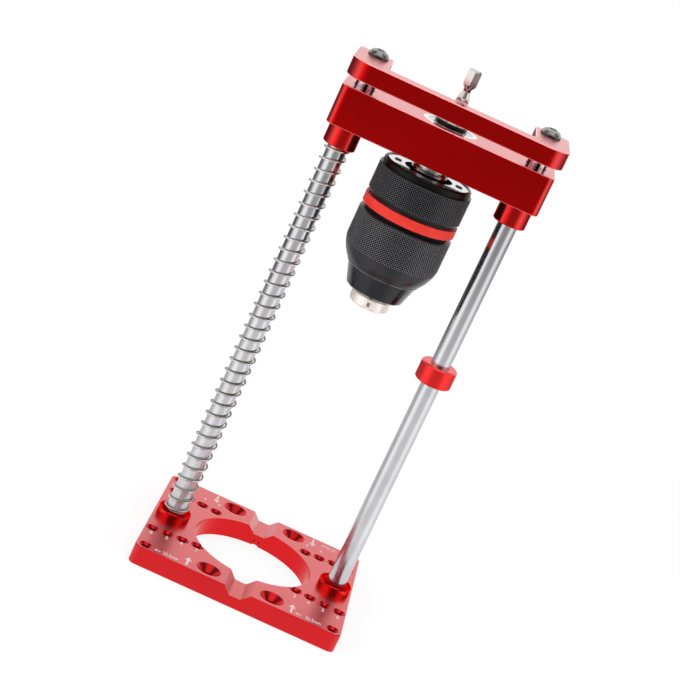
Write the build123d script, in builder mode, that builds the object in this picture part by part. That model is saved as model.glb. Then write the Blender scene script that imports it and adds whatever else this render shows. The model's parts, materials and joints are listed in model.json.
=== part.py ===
from build123d import *
from math import cos, radians, sin, sqrt, tan
import os

# Hinge drilling jig: a square base plate with a large round opening carries two columns. A
# carriage slides on them against a coil spring and holds a keyless drill chuck in two ball
# bearings. A bar ties the column tops, and a clamp collar on the right column sets the depth.
# Millimetres, origin at the middle of the base plate's underside, +Z up, -Y to the front.

# Clearances that the moving fits share.
run_fit = 0.05          # radial, sliding and turning fits
free_gap = 0.4          # radial, between parts that turn past each other without touching
stack_gap = 0.02        # axial, between the spring's ends and their seats

# Base plate. The pin holes' rows start a thin wall off the opening and end near the plate's ends.
base_depth = 104.0
base_thick = 10.0
base_corner_r = 3.5
edge_break = 0.4
opening_d = 64.0
notch_top = 14.0
notch_floor = 6.0
notch_depth = 4.0
nick_d = 3.4
nick_height = 3.0
screw_hole_dx = 34.0
screw_inset_y = 9.0
screw_hole_d = 6.6
screw_sink_d = 13.0
pin_hole_d = 4.4
pin_sink_d = 7.0
pin_wall = 1.0
pin_end_inset = 4.0
pin_front_y = 22.4
pin_back_y = 28.4
pin_back_shift = 1.4    # the back rows stand this much nearer the middle
pin_step_y = 0.9
pins_in_row = 4
corner_inset_x = 5.0
corner_inset_y = 4.7

# Columns, their feet and the screws at both ends.
column_d = 10.0
column_spacing = 90.0
column_inset = 10.0     # from a column's axis to the ends of the plate, the carriage and the bar
column_seat = 3.0
foot_collar_d = 17.4
foot_collar_height = 4.0
foot_collar_slope = 0.5
foot_collar_mouth = 0.8
thread_d = 6.0
foot_head_d = 12.0
foot_head_sunk = 0.2
foot_screw_length = 16.0
top_head_d = 10.5
top_head_height = 3.3
top_screw_length = 20.0
socket_af = 4.0
socket_depth = 1.8
tap_spare = 3.0

# Tie bar across the column tops.
bar_z = 258.0
bar_thick = 9.0
bar_front = 34.0
bar_back = 9.5
bar_strip = 10.0
bar_ear_wall = 2.5      # between a column's seat and the gap
bar_front_r = 10.0
bar_back_r = 3.0
bar_seat = 1.5

# Carriage.
rest_gap = 7.0
carriage_depth = 32.0
carriage_height = 20.0
carriage_corner_r = 4.0
sleeve_d = 16.5
sleeve_drop = 11.0
spigot_d = 14.5
spigot_length = 14.0
bush_d = 12.0
column_clear_d = 10.8

# Ball bearings in the carriage.
bearing_d = 28.0
bearing_bore = 12.0
bearing_width = 8.0
race_wall = 2.35
ball_d = 4.76
ball_count = 8
shield_thick = 0.5
shield_sunk = 0.4
land_d = 24.0

# Spindle.
hex_af = 6.35
hex_top_z = 280.5
hex_tip_chamfer = 1.1
drive_groove_z = 270.0
drive_groove_d = 3.7
journal_top = 3.0
lock_ring_d = 16.4
lock_ring_height = 2.2
hub_d = 18.8
hub_step = 0.9
stub_d = 12.7
stub_length = 16.0

# Chuck, measured up from its nose.
chuck_length = 72.5
nose_d = 20.5
nose_height = 5.5
mouth_d = 13.5
mouth_depth = 46.0
cone_top = 18.0
cone_low_d = 29.4
cone_top_d = 36.2
cone_chamfer = 2.1
neck_d = 26.4
nut_low = 20.4
nut_height = 6.6
nut_d = 36.0
nut_flange_d = 41.0
nut_flange_height = 2.0
washer_thick = 1.3
core_d = 42.4
core_top = 68.0
sleeve_lip_d = 37.8
sleeve_lip_height = 0.6
shoulder_middle = 23.7
shoulder_middle_d = 44.4
shoulder_top = 29.9
front_sleeve_d = 48.2
front_sleeve_top = 45.6
ring_d = 48.0
ring_low = 48.0
ring_top = 52.7
groove_d = 45.4
groove_top = 53.9
rear_sleeve_d = 48.0
rear_sleeve_low = 55.3
rear_sleeve_top = 69.3
rim_d = 45.6
rim_r = 1.2
cap_hole_d = 4.0
cap_hole_pcd = 32.0
cap_recess_d = 25.0
cap_sunk = 0.5
slot_width = 1.6
slot_height = 3.0
slot_depth = 0.15

# Jaws, shown fully open.
jaw_angle = 14.5
jaw_d = 8.4
jaw_nose_radius = 4.6
jaw_open_radius = 6.6
jaw_tip = 14.0
jaw_length = 38.0
jaw_back_d = 40.6
jaw_directions = (-90.0, 30.0, 150.0)

# Depth stop.
stop_z = 131.5
stop_height = 10.0
stop_d = 19.0
stop_chamfer = 0.7
grub_d = 5.0
grub_length = 4.1
grub_socket_af = 2.5

# Return spring.
wire_d = 1.1
spring_mean_d = 12.0
spring_turns = 33.83
spring_start = 120.0    # degrees round the column, from +X, of the lower end
wire_sides = 6
steps_per_turn = 12
end_turns = 1.0

# Places that follow from the sizes above.
half_spacing = column_spacing / 2
half_length = half_spacing + column_inset
half_gap = half_spacing - column_d / 2 - bar_ear_wall
pin_last_x = half_length - pin_end_inset
pin_first_x = sqrt((opening_d / 2 + pin_wall + pin_hole_d / 2) ** 2 - pin_front_y**2)
pin_pitch = (pin_last_x - pin_first_x) / (pins_in_row - 1)
corner_x = half_length - corner_inset_x
corner_y = base_depth / 2 - corner_inset_y
column_low_z = base_thick - column_seat
column_high_z = bar_z + bar_seat
bar_top_z = bar_z + bar_thick
carriage_top_z = bar_z - rest_gap
carriage_z = carriage_top_z - carriage_height
sleeve_z = carriage_z - sleeve_drop
foot_top_z = base_thick + foot_collar_height
hub_top_z = carriage_z
chuck_top_z = hub_top_z - 5 * hub_step
nose_z = chuck_top_z - chuck_length
core_top_z = nose_z + core_top
neck_low_z = nose_z + nut_low - 0.6
nut_low_z = nose_z + nut_low
nut_top_z = nut_low_z + nut_height
flange_z = nut_top_z + washer_thick
cone_low_z = nose_z + nose_height
cone_top_z = nose_z + cone_top
both_sides = (("left", -half_spacing), ("right", half_spacing))


def jaw_back_r(z):
    """Radius, at height z, of the line along which a jaw's back slides."""
    return jaw_nose_radius + (z - nose_z) * tan(radians(jaw_angle)) + jaw_d / 2 / cos(radians(jaw_angle))


def clear_r(z):
    """Radius, at height z, that parts turning round the jaws are bored to."""
    return jaw_back_r(z) + free_gap


# Base plate, one milled plate.
pin_spots = [(x, y) for x in (-corner_x, corner_x) for y in (-corner_y, corner_y)]
for i in range(pins_in_row):
    for side in (-1, 1):
        row_x = pin_first_x + i * pin_pitch
        pin_spots.append((side * row_x, -pin_front_y - i * pin_step_y))
        pin_spots.append((side * (row_x - pin_back_shift), pin_back_y + i * pin_step_y))

with BuildPart() as base_plate:
    with BuildSketch():
        RectangleRounded(2 * half_length, base_depth, base_corner_r)
    extrude(amount=base_thick)
    rims = base_plate.faces().filter_by(Axis.Z).edges()
    chamfer(rims, edge_break)
    with BuildSketch():
        Circle(opening_d / 2)
    extrude(amount=base_thick, mode=Mode.SUBTRACT)
    # one trapezoid cut through both rims makes the front and back sight notches
    with BuildSketch(Plane.XZ):
        with BuildLine():
            Polyline(
                (-notch_floor / 2, base_thick - notch_depth),
                (notch_floor / 2, base_thick - notch_depth),
                (notch_top / 2, base_thick),
                (notch_top / 2, base_thick + 1),
                (-notch_top / 2, base_thick + 1),
                (-notch_top / 2, base_thick),
                close=True,
            )
        make_face()
    extrude(amount=base_depth, both=True, mode=Mode.SUBTRACT)
    # small half-round centre nicks low in the opening's wall
    with BuildSketch():
        with Locations((0, -opening_d / 2), (0, opening_d / 2)):
            Circle(nick_d / 2)
    extrude(amount=nick_height, mode=Mode.SUBTRACT)
    with Locations(Plane.XY.offset(base_thick)):
        with GridLocations(screw_hole_dx, base_depth - 2 * screw_inset_y, 2, 2):
            CounterSinkHole(screw_hole_d / 2, screw_sink_d / 2, depth=base_thick, counter_sink_angle=90)
        with Locations(*pin_spots):
            CounterSinkHole(pin_hole_d / 2, pin_sink_d / 2, depth=base_thick, counter_sink_angle=90)
        # seats of the columns, with the foot screws' holes on below
        with GridLocations(column_spacing, 1, 2, 1):
            CounterBoreHole(thread_d / 2 + 0.2, column_d / 2, column_seat, depth=base_thick)
    with Locations(Plane(origin=(0, 0, 0), x_dir=(1, 0, 0), z_dir=(0, 0, -1))):
        with GridLocations(column_spacing, 1, 2, 1):
            CounterSinkHole(thread_d / 2 + 0.2, foot_head_d / 2, depth=base_thick / 2, counter_sink_angle=90)
base_plate.part.label = "base_plate"
export_step(base_plate.part, "parts/base_plate.step")

# Turned foot collars round the columns, standing on the plate.
for side, x in both_sides:
    with BuildPart() as foot_collar:
        with BuildSketch(Plane.XY.offset(base_thick)):
            with Locations((x, 0)):
                Circle(foot_collar_d / 2)
                Circle(column_d / 2, mode=Mode.SUBTRACT)
        extrude(amount=foot_collar_height)
        top_rims = foot_collar.edges().filter_by(GeomType.CIRCLE).group_by(Axis.Z)[-1].sort_by(SortBy.RADIUS)
        chamfer(top_rims[-1], foot_collar_slope)
        chamfer(top_rims[0], foot_collar_mouth)
    foot_collar.part.label = f"foot_collar_{side}"
    export_step(foot_collar.part, f"parts/foot_collar_{side}.step")

# Ground steel columns, tapped at both ends.
for side, x in both_sides:
    with BuildPart() as column:
        with BuildSketch(Plane.XY.offset(column_low_z)):
            with Locations((x, 0)):
                Circle(column_d / 2)
        extrude(amount=column_high_z - column_low_z)
        chamfer(column.edges().filter_by(GeomType.CIRCLE), 0.5)
        with BuildSketch(Plane.XY.offset(column_low_z)):
            with Locations((x, 0)):
                Circle(thread_d / 2)
        extrude(amount=foot_screw_length + foot_head_sunk - column_low_z + tap_spare, mode=Mode.SUBTRACT)
        with BuildSketch(Plane.XY.offset(column_high_z)):
            with Locations((x, 0)):
                Circle(thread_d / 2)
        extrude(amount=-(column_high_z - bar_top_z + top_screw_length + tap_spare), mode=Mode.SUBTRACT)
    column.part.label = f"column_{side}"
    export_step(column.part, f"parts/column_{side}.step")

# Countersunk foot screws, from below the plate.
with BuildPart() as foot_screws:
    for side, x in both_sides:
        head_r = foot_head_d / 2 - foot_head_sunk
        with BuildSketch(Plane((x, 0, 0), x_dir=(1, 0, 0), z_dir=(0, -1, 0))):
            with BuildLine():
                Polyline(
                    (0, foot_head_sunk),
                    (head_r, foot_head_sunk),
                    (thread_d / 2, foot_head_sunk + head_r - thread_d / 2),
                    (thread_d / 2, foot_screw_length + foot_head_sunk - 0.6),
                    (thread_d / 2 - 0.6, foot_screw_length + foot_head_sunk),
                    (0, foot_screw_length + foot_head_sunk),
                    close=True,
                )
            make_face()
        revolve(axis=Axis((x, 0, 0), (0, 0, 1)))
        with BuildSketch(Plane.XY.offset(foot_head_sunk)):
            with Locations((x, 0)):
                RegularPolygon(socket_af / 2, 6, major_radius=False)
        extrude(amount=socket_depth, mode=Mode.SUBTRACT)
foot_screws.part.label = "foot_screws"
export_step(foot_screws.part, "parts/foot_screws.step")

# Tie bar: a flat bar cut away behind, so that the drive shank stands free between two ears.
with BuildPart() as tie_bar:
    with BuildSketch(Plane.XY.offset(bar_z)) as outline:
        with BuildLine():
            Polyline(
                (-half_length, -bar_front),
                (half_length, -bar_front),
                (half_length, bar_back),
                (half_gap, bar_back),
                (half_gap, bar_strip - bar_front),
                (-half_gap, bar_strip - bar_front),
                (-half_gap, bar_back),
                (-half_length, bar_back),
                close=True,
            )
        make_face()
        corners = outline.vertices()
        fillet(corners.group_by(Axis.Y)[0], bar_front_r)
        fillet(outline.vertices().group_by(Axis.Y)[-1].sort_by(Axis.X)[0::3], bar_back_r)
        inner = outline.vertices().filter_by(lambda v: abs(abs(v.X) - half_gap) < 0.01)
        fillet(inner.group_by(Axis.Y)[0], bar_back_r)
        fillet(inner.group_by(Axis.Y)[-1], bar_back_r / 3)
    extrude(amount=bar_thick)
    chamfer(tie_bar.faces().filter_by(Axis.Z).edges(), edge_break)
    with Locations(Plane(origin=(0, 0, bar_z), x_dir=(1, 0, 0), z_dir=(0, 0, -1))):
        with GridLocations(column_spacing, 1, 2, 1):
            CounterBoreHole(thread_d / 2 + 0.2, column_d / 2, bar_seat, depth=bar_thick)
tie_bar.part.label = "tie_bar"
export_step(tie_bar.part, "parts/tie_bar.step")

# Button-head screws that hold the bar to the columns.
with BuildPart() as bar_screws:
    for side, x in both_sides:
        with BuildSketch(Plane((x, 0, 0), x_dir=(1, 0, 0), z_dir=(0, -1, 0))):
            with BuildLine():
                dome = ThreePointArc(
                    (top_head_d / 2, bar_top_z + 0.6),
                    (top_head_d * 0.405, bar_top_z + top_head_height * 0.68),
                    (socket_af * 0.62, bar_top_z + top_head_height),
                )
                Polyline(
                    dome @ 1,
                    (0, bar_top_z + top_head_height),
                    (0, bar_top_z - top_screw_length),
                    (thread_d / 2 - 0.6, bar_top_z - top_screw_length),
                    (thread_d / 2, bar_top_z - top_screw_length + 0.6),
                    (thread_d / 2, bar_top_z),
                    (top_head_d / 2, bar_top_z),
                    dome @ 0,
                )
            make_face()
        revolve(axis=Axis((x, 0, 0), (0, 0, 1)))
        with BuildSketch(Plane.XY.offset(bar_top_z + top_head_height)):
            with Locations((x, 0)):
                RegularPolygon(socket_af / 2, 6, major_radius=False)
        extrude(amount=-socket_depth, mode=Mode.SUBTRACT)
bar_screws.part.label = "bar_screws"
export_step(bar_screws.part, "parts/bar_screws.step")

# Carriage: a solid bar, bored for the guide sleeves and for a bearing at each face.
with BuildPart() as carriage_block:
    with BuildSketch(Plane.XY.offset(carriage_z)):
        RectangleRounded(2 * half_length, carriage_depth, carriage_corner_r)
    extrude(amount=carriage_height)
    chamfer(carriage_block.faces().filter_by(Axis.Z).edges(), edge_break)
    with Locations(Plane.XY.offset(carriage_top_z)):
        CounterBoreHole(land_d / 2, bearing_d / 2, bearing_width, depth=carriage_height)
    with Locations(Plane(origin=(0, 0, carriage_z), x_dir=(1, 0, 0), z_dir=(0, 0, -1))):
        CounterBoreHole(land_d / 2, bearing_d / 2, bearing_width, depth=carriage_height)
        with GridLocations(column_spacing, 1, 2, 1):
            CounterBoreHole(column_clear_d / 2, spigot_d / 2, spigot_length, depth=carriage_height)
carriage_block.part.label = "carriage_block"
export_step(carriage_block.part, "parts/carriage_block.step")

# Guide sleeves, pressed up into the carriage, and the bronze bushes inside them.
for side, x in both_sides:
    with BuildPart() as guide_sleeve:
        with BuildSketch(Plane.XY.offset(sleeve_z)):
            with Locations((x, 0)):
                Circle(sleeve_d / 2)
        extrude(amount=sleeve_drop)
        chamfer(guide_sleeve.edges().group_by(Axis.Z)[0], 0.5)
        with BuildSketch(Plane.XY.offset(carriage_z)):
            with Locations((x, 0)):
                Circle(spigot_d / 2)
        extrude(amount=spigot_length)
        with BuildSketch(Plane.XY.offset(sleeve_z)):
            with Locations((x, 0)):
                Circle(bush_d / 2)
        extrude(amount=sleeve_drop + spigot_length, mode=Mode.SUBTRACT)
    guide_sleeve.part.label = f"guide_sleeve_{side}"
    export_step(guide_sleeve.part, f"parts/guide_sleeve_{side}.step")

    with BuildPart() as guide_bush:
        with BuildSketch(Plane.XY.offset(sleeve_z)):
            with Locations((x, 0)):
                Circle(bush_d / 2)
                Circle(column_d / 2 + run_fit, mode=Mode.SUBTRACT)
        extrude(amount=sleeve_drop + spigot_length)
    guide_bush.part.label = f"guide_bush_{side}"
    export_step(guide_bush.part, f"parts/guide_bush_{side}.step")

# Two shielded ball bearings: races with ball tracks, balls and side shields.
track_r = ball_d / 2 + run_fit
pitch_r = (bearing_d + bearing_bore) / 4
for place, z in (("upper", carriage_top_z - bearing_width), ("lower", carriage_z)):
    middle = z + bearing_width / 2
    for race, low_r in (("outer", bearing_d / 2 - race_wall), ("inner", bearing_bore / 2)):
        with BuildPart() as race_ring:
            with BuildSketch(Plane.XZ) as section:
                with Locations((low_r, z)):
                    Rectangle(race_wall, bearing_width, align=(Align.MIN, Align.MIN))
                with Locations((pitch_r, middle)):
                    Circle(track_r, mode=Mode.SUBTRACT)
            revolve(axis=Axis.Z)
        race_ring.part.label = f"bearing_{place}_{race}"
        export_step(race_ring.part, f"parts/bearing_{place}_{race}.step")

    with BuildPart() as balls:
        with Locations((0, 0, middle)):
            with PolarLocations(pitch_r, ball_count):
                Sphere(ball_d / 2)
    balls.part.label = f"bearing_{place}_balls"
    export_step(balls.part, f"parts/bearing_{place}_balls.step")

    with BuildPart() as shields:
        for shield_z in (z + shield_sunk, z + bearing_width - shield_sunk - shield_thick):
            with BuildSketch(Plane.XY.offset(shield_z)):
                Circle(bearing_d / 2 - race_wall)
                Circle(bearing_bore / 2 + race_wall + 0.3, mode=Mode.SUBTRACT)
            extrude(amount=shield_thick)
    shields.part.label = f"bearing_{place}_shields"
    export_step(shields.part, f"parts/bearing_{place}_shields.step")

# Spacer tube between the inner races.
with BuildPart() as bearing_spacer:
    with BuildSketch(Plane.XY.offset(carriage_z + bearing_width)):
        Circle(bearing_bore / 2 + race_wall * 0.7)
        Circle(bearing_bore / 2, mode=Mode.SUBTRACT)
    extrude(amount=carriage_height - 2 * bearing_width)
bearing_spacer.part.label = "bearing_spacer"
export_step(bearing_spacer.part, "parts/bearing_spacer.step")

# Spindle: hex drive shank, bearing journal, stepped hub and the stub that screws into the chuck.
journal_top_z = carriage_top_z + journal_top
with BuildPart() as spindle:
    with BuildSketch(Plane.XZ):
        with BuildLine():
            Polyline(
                (0, core_top_z - stub_length),
                (stub_d / 2 - 0.8, core_top_z - stub_length),
                (stub_d / 2, core_top_z - stub_length + 0.8),
                (stub_d / 2, core_top_z),
                (hub_d / 2, core_top_z),
                (hub_d / 2, hub_top_z - 3 * hub_step),
                (hub_d / 2 - 1.2, hub_top_z - 3 * hub_step),
                (hub_d / 2 - 1.2, hub_top_z - 2.6 * hub_step),
                (hub_d / 2 - 0.7, hub_top_z - 2.6 * hub_step),
                (hub_d / 2 - 0.7, hub_top_z - 1.6 * hub_step),
                (hub_d / 2 - 2.0, hub_top_z - 1.6 * hub_step),
                (hub_d / 2 - 2.0, hub_top_z - 1.2 * hub_step),
                (bearing_bore / 2 + race_wall * 0.7, hub_top_z - 1.2 * hub_step),
                (bearing_bore / 2 + race_wall * 0.7, hub_top_z),
                (bearing_bore / 2, hub_top_z),
                (bearing_bore / 2, journal_top_z - 0.8),
                (bearing_bore / 2 - 0.8, journal_top_z),
                (0, journal_top_z),
                close=True,
            )
        make_face()
    revolve(axis=Axis.Z)
    with BuildSketch(Plane.XY.offset(journal_top_z)):
        RegularPolygon(hex_af / 2, 6, major_radius=False, rotation=30)
    extrude(amount=hex_top_z - journal_top_z)
    # the waist that a quick-change drive snaps into, and the chamfered tip
    with BuildSketch(Plane.XZ):
        with BuildLine():
            Polyline(
                (hex_af, drive_groove_z + 3.4),
                (hex_af * 0.56, drive_groove_z + 3.0),
                (drive_groove_d / 2, drive_groove_z + 0.6),
                (drive_groove_d / 2, drive_groove_z - 0.6),
                (hex_af * 0.47, drive_groove_z - 4.0),
                (hex_af * 0.60, drive_groove_z - 5.6),
                (hex_af, drive_groove_z - 5.8),
                close=True,
            )
        make_face()
        with BuildLine():
            Polyline(
                (hex_af * 0.6 - hex_tip_chamfer * 1.25, hex_top_z + 0.01),
                (hex_af * 0.6, hex_top_z - hex_tip_chamfer),
                (hex_af, hex_top_z - hex_tip_chamfer),
                (hex_af, hex_top_z + 0.01),
                close=True,
            )
        make_face()
    revolve(axis=Axis.Z, mode=Mode.SUBTRACT)
spindle.part.label = "spindle"
export_step(spindle.part, "parts/spindle.step")

# Black ring nut that clamps the upper bearing's inner race.
with BuildPart() as lock_ring:
    with BuildSketch(Plane.XY.offset(carriage_top_z)):
        Circle(lock_ring_d / 2)
        Circle(bearing_bore / 2, mode=Mode.SUBTRACT)
    extrude(amount=lock_ring_height)
    chamfer(lock_ring.edges().group_by(Axis.Z)[-1].sort_by(SortBy.RADIUS)[-1:], 0.5)
lock_ring.part.label = "lock_ring"
export_step(lock_ring.part, "parts/lock_ring.step")

# Chuck body: steel nose, cone, neck for the nut and a thick core, with three inclined jaw bores.
jaw_planes = [
    Plane(
        origin=(jaw_nose_radius * cos(radians(a)), jaw_nose_radius * sin(radians(a)), nose_z),
        z_dir=(
            sin(radians(jaw_angle)) * cos(radians(a)),
            sin(radians(jaw_angle)) * sin(radians(a)),
            cos(radians(jaw_angle)),
        ),
    )
    for a in jaw_directions
]
jaw_top = jaw_tip + jaw_length
body_cone_r = jaw_back_r(neck_low_z) - 0.2
with BuildPart() as chuck_body:
    with BuildSketch(Plane.XZ):
        with BuildLine():
            Polyline(
                (0, nose_z),
                (nose_d / 2 - 0.8, nose_z),
                (nose_d / 2 - 0.2, nose_z + 0.8),
                (nose_d / 2, nose_z + nose_height),
                (body_cone_r, neck_low_z),
                (neck_d / 2, neck_low_z),
                (neck_d / 2, flange_z),
                (core_d / 2, flange_z),
                (core_d / 2, core_top_z),
                (0, core_top_z),
                close=True,
            )
        make_face()
    revolve(axis=Axis.Z)
    with BuildSketch(Plane.XZ):
        with BuildLine():
            Polyline(
                (0, nose_z - 1),
                (mouth_d / 2 + 1.0, nose_z - 1),
                (mouth_d / 2 + 1.0, nose_z),
                (mouth_d / 2, nose_z + 1.0),
                (mouth_d / 2, nose_z + mouth_depth),
                (0, nose_z + mouth_depth + 2.5),
                close=True,
            )
        make_face()
    revolve(axis=Axis.Z, mode=Mode.SUBTRACT)
    with BuildSketch(Plane.XY.offset(core_top_z)):
        Circle(stub_d / 2)
    extrude(amount=-stub_length, mode=Mode.SUBTRACT)
    for plane in jaw_planes:
        with BuildSketch(plane.offset(-6)):
            Circle(jaw_d / 2 + run_fit)
        extrude(amount=6 + (jaw_top + 2) / cos(radians(jaw_angle)), mode=Mode.SUBTRACT)
    # shallow marks sunk in the nose, one over each jaw
    for a in jaw_directions:
        with BuildSketch(Plane.XY.offset(nose_z + (nose_height - slot_height) / 2)):
            with Locations(Location((nose_d / 2 * cos(radians(a)), nose_d / 2 * sin(radians(a))), a)):
                Rectangle(2 * slot_depth, slot_width)
        extrude(amount=slot_height, mode=Mode.SUBTRACT)
chuck_body.part.label = "chuck_body"
export_step(chuck_body.part, "parts/chuck_body.step")

# Three jaws: inclined pins, ground to a blunt wedge that faces the drill.
for number, (a, plane) in enumerate(zip(jaw_directions, jaw_planes), 1):
    outward = Vector(cos(radians(a)), sin(radians(a)))
    apex = jaw_open_radius * outward
    left, right = (jaw_back_d * outward.rotate(Axis.Z, side) for side in (60, -60))
    with BuildPart() as jaw:
        with BuildSketch(plane.offset(jaw_tip - 4)):
            Circle(jaw_d / 2)
        extrude(amount=(jaw_top / cos(radians(jaw_angle))) - jaw_tip + 4)
        with BuildSketch(Plane.XY.offset(nose_z + jaw_tip)) as wedge:
            with BuildLine():
                Polyline(apex, apex + right, apex + right + left, apex + left, close=True)
            make_face()
            Circle(jaw_back_d / 2, mode=Mode.INTERSECT)
        extrude(amount=jaw_length + 5, mode=Mode.INTERSECT)
    jaw.part.label = f"jaw_{number}"
    export_step(jaw.part, f"parts/jaw_{number}.step")

# Nut that drives the jaws, coned inside to clear their backs.
with BuildPart() as chuck_nut:
    with BuildSketch(Plane.XZ):
        with BuildLine():
            Polyline(
                (clear_r(nut_low_z), nut_low_z),
                (nut_d / 2, nut_low_z),
                (nut_d / 2, nut_top_z - nut_flange_height),
                (nut_flange_d / 2, nut_top_z - nut_flange_height),
                (nut_flange_d / 2, nut_top_z),
                (clear_r(nut_top_z), nut_top_z),
                close=True,
            )
        make_face()
    revolve(axis=Axis.Z)
chuck_nut.part.label = "chuck_nut"
export_step(chuck_nut.part, "parts/chuck_nut.step")

# Thrust washer between the nut and the body's flange.
with BuildPart() as thrust_washer:
    with BuildSketch(Plane.XY.offset(nut_top_z)):
        Circle(nut_flange_d / 2)
        Circle(clear_r(flange_z), mode=Mode.SUBTRACT)
    extrude(amount=flange_z - nut_top_z)
thrust_washer.part.label = "thrust_washer"
export_step(thrust_washer.part, "parts/thrust_washer.step")

# Nose cone, smooth, turning with the front sleeve.
with BuildPart() as nose_cone:
    with BuildSketch(Plane.XZ):
        with BuildLine():
            Polyline(
                (clear_r(cone_low_z), cone_low_z),
                (clear_r(cone_low_z) + 0.4, cone_low_z),
                (cone_low_d / 2, cone_low_z + cone_chamfer),
                (cone_top_d / 2, cone_top_z),
                (clear_r(cone_top_z), cone_top_z),
                close=True,
            )
        make_face()
    revolve(axis=Axis.Z)
nose_cone.part.label = "nose_cone"
export_step(nose_cone.part, "parts/nose_cone.step")

# Front sleeve over the nut, the sleeve that a hand turns. Its lower end curves in to a lip.
with BuildPart() as front_sleeve:
    with BuildSketch(Plane.XZ):
        with BuildLine():
            shoulder = ThreePointArc(
                (sleeve_lip_d / 2, cone_top_z + sleeve_lip_height),
                (shoulder_middle_d / 2, nose_z + shoulder_middle),
                (front_sleeve_d / 2, nose_z + shoulder_top),
            )
            Polyline(
                shoulder @ 0,
                (sleeve_lip_d / 2, cone_top_z),
                (clear_r(cone_top_z), cone_top_z),
                (clear_r(nut_low_z), nut_low_z),
                (nut_d / 2, nut_low_z),
                (nut_d / 2, nut_top_z - nut_flange_height),
                (nut_flange_d / 2, nut_top_z - nut_flange_height),
                (nut_flange_d / 2, nut_top_z),
                (core_d / 2 + free_gap, nut_top_z),
                (core_d / 2 + free_gap, nose_z + front_sleeve_top),
                (front_sleeve_d / 2 - 0.5, nose_z + front_sleeve_top),
                (front_sleeve_d / 2, nose_z + front_sleeve_top - 0.5),
                shoulder @ 1,
            )
        make_face()
    revolve(axis=Axis.Z)
front_sleeve.part.label = "front_sleeve"
export_step(front_sleeve.part, "parts/front_sleeve.step")

# Red ring between the two sleeves, pressed on the core.
with BuildPart() as chuck_ring:
    with BuildSketch(Plane.XY.offset(nose_z + ring_low)):
        Circle(ring_d / 2)
        Circle(core_d / 2, mode=Mode.SUBTRACT)
    extrude(amount=ring_top - ring_low)
chuck_ring.part.label = "chuck_ring"
export_step(chuck_ring.part, "parts/chuck_ring.step")

# Rear sleeve, fixed on the core, with a narrow rounded rim above the end cap.
with BuildPart() as rear_sleeve:
    with BuildSketch(Plane.XZ) as section:
        with BuildLine():
            Polyline(
                (core_d / 2, nose_z + ring_top),
                (groove_d / 2, nose_z + ring_top),
                (groove_d / 2, nose_z + groove_top),
                (groove_d / 2 + 0.4, nose_z + groove_top),
                (rear_sleeve_d / 2, nose_z + rear_sleeve_low),
                (rear_sleeve_d / 2, nose_z + rear_sleeve_top - 0.3),
                (rear_sleeve_d / 2 - 0.3, nose_z + rear_sleeve_top),
                (rim_d / 2, nose_z + rear_sleeve_top),
                (rim_d / 2, chuck_top_z),
                (core_d / 2, chuck_top_z),
                close=True,
            )
        make_face()
        rim = section.vertices().group_by(Axis.Y)[-1].sort_by(Axis.X)
        fillet(rim[-1], rim_r)
    revolve(axis=Axis.Z)
rear_sleeve.part.label = "rear_sleeve"
export_step(rear_sleeve.part, "parts/rear_sleeve.step")

# Plated end cap on the core, with two small spanner holes and an open ring round the hub.
with BuildPart() as end_cap:
    with BuildSketch(Plane.XY.offset(core_top_z)):
        Circle(core_d / 2)
        Circle(cap_recess_d / 2, mode=Mode.SUBTRACT)
    extrude(amount=chuck_top_z - core_top_z - cap_sunk)
    with BuildSketch(Plane.XY.offset(core_top_z)):
        with PolarLocations(cap_hole_pcd / 2, 2):
            Circle(cap_hole_d / 2)
    extrude(amount=chuck_top_z - core_top_z, mode=Mode.SUBTRACT)
end_cap.part.label = "end_cap"
export_step(end_cap.part, "parts/end_cap.step")

# Depth stop: a clamp collar on the right column, locked by a grub screw behind.
with BuildPart() as stop_collar:
    with BuildSketch(Plane.XY.offset(stop_z)):
        with Locations((half_spacing, 0)):
            Circle(stop_d / 2)
    extrude(amount=stop_height)
    chamfer(stop_collar.edges().filter_by(GeomType.CIRCLE), stop_chamfer)
    with BuildSketch(Plane.XY.offset(stop_z)):
        with Locations((half_spacing, 0)):
            Circle(column_d / 2 + run_fit)
    extrude(amount=stop_height, mode=Mode.SUBTRACT)
    grub_start = (half_spacing, 0, stop_z + stop_height / 2)
    with BuildSketch(Plane(grub_start, x_dir=(1, 0, 0), z_dir=(0, 1, 0))):
        Circle(grub_d / 2)
    extrude(amount=stop_d, mode=Mode.SUBTRACT)
stop_collar.part.label = "stop_collar"
export_step(stop_collar.part, "parts/stop_collar.step")

with BuildPart() as stop_screw:
    tip = (half_spacing, column_d / 2 + run_fit, stop_z + stop_height / 2)
    with BuildSketch(Plane(tip, x_dir=(1, 0, 0), z_dir=(0, 1, 0))):
        Circle(grub_d / 2)
    extrude(amount=grub_length)
    chamfer(stop_screw.edges().group_by(Axis.Y)[0], 0.6)
    with BuildSketch(stop_screw.faces().sort_by(Axis.Y)[-1]):
        RegularPolygon(grub_socket_af / 2, 6, major_radius=False)
    extrude(amount=-grub_length / 2, mode=Mode.SUBTRACT)
stop_screw.part.label = "stop_screw"
export_step(stop_screw.part, "parts/stop_screw.step")

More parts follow.
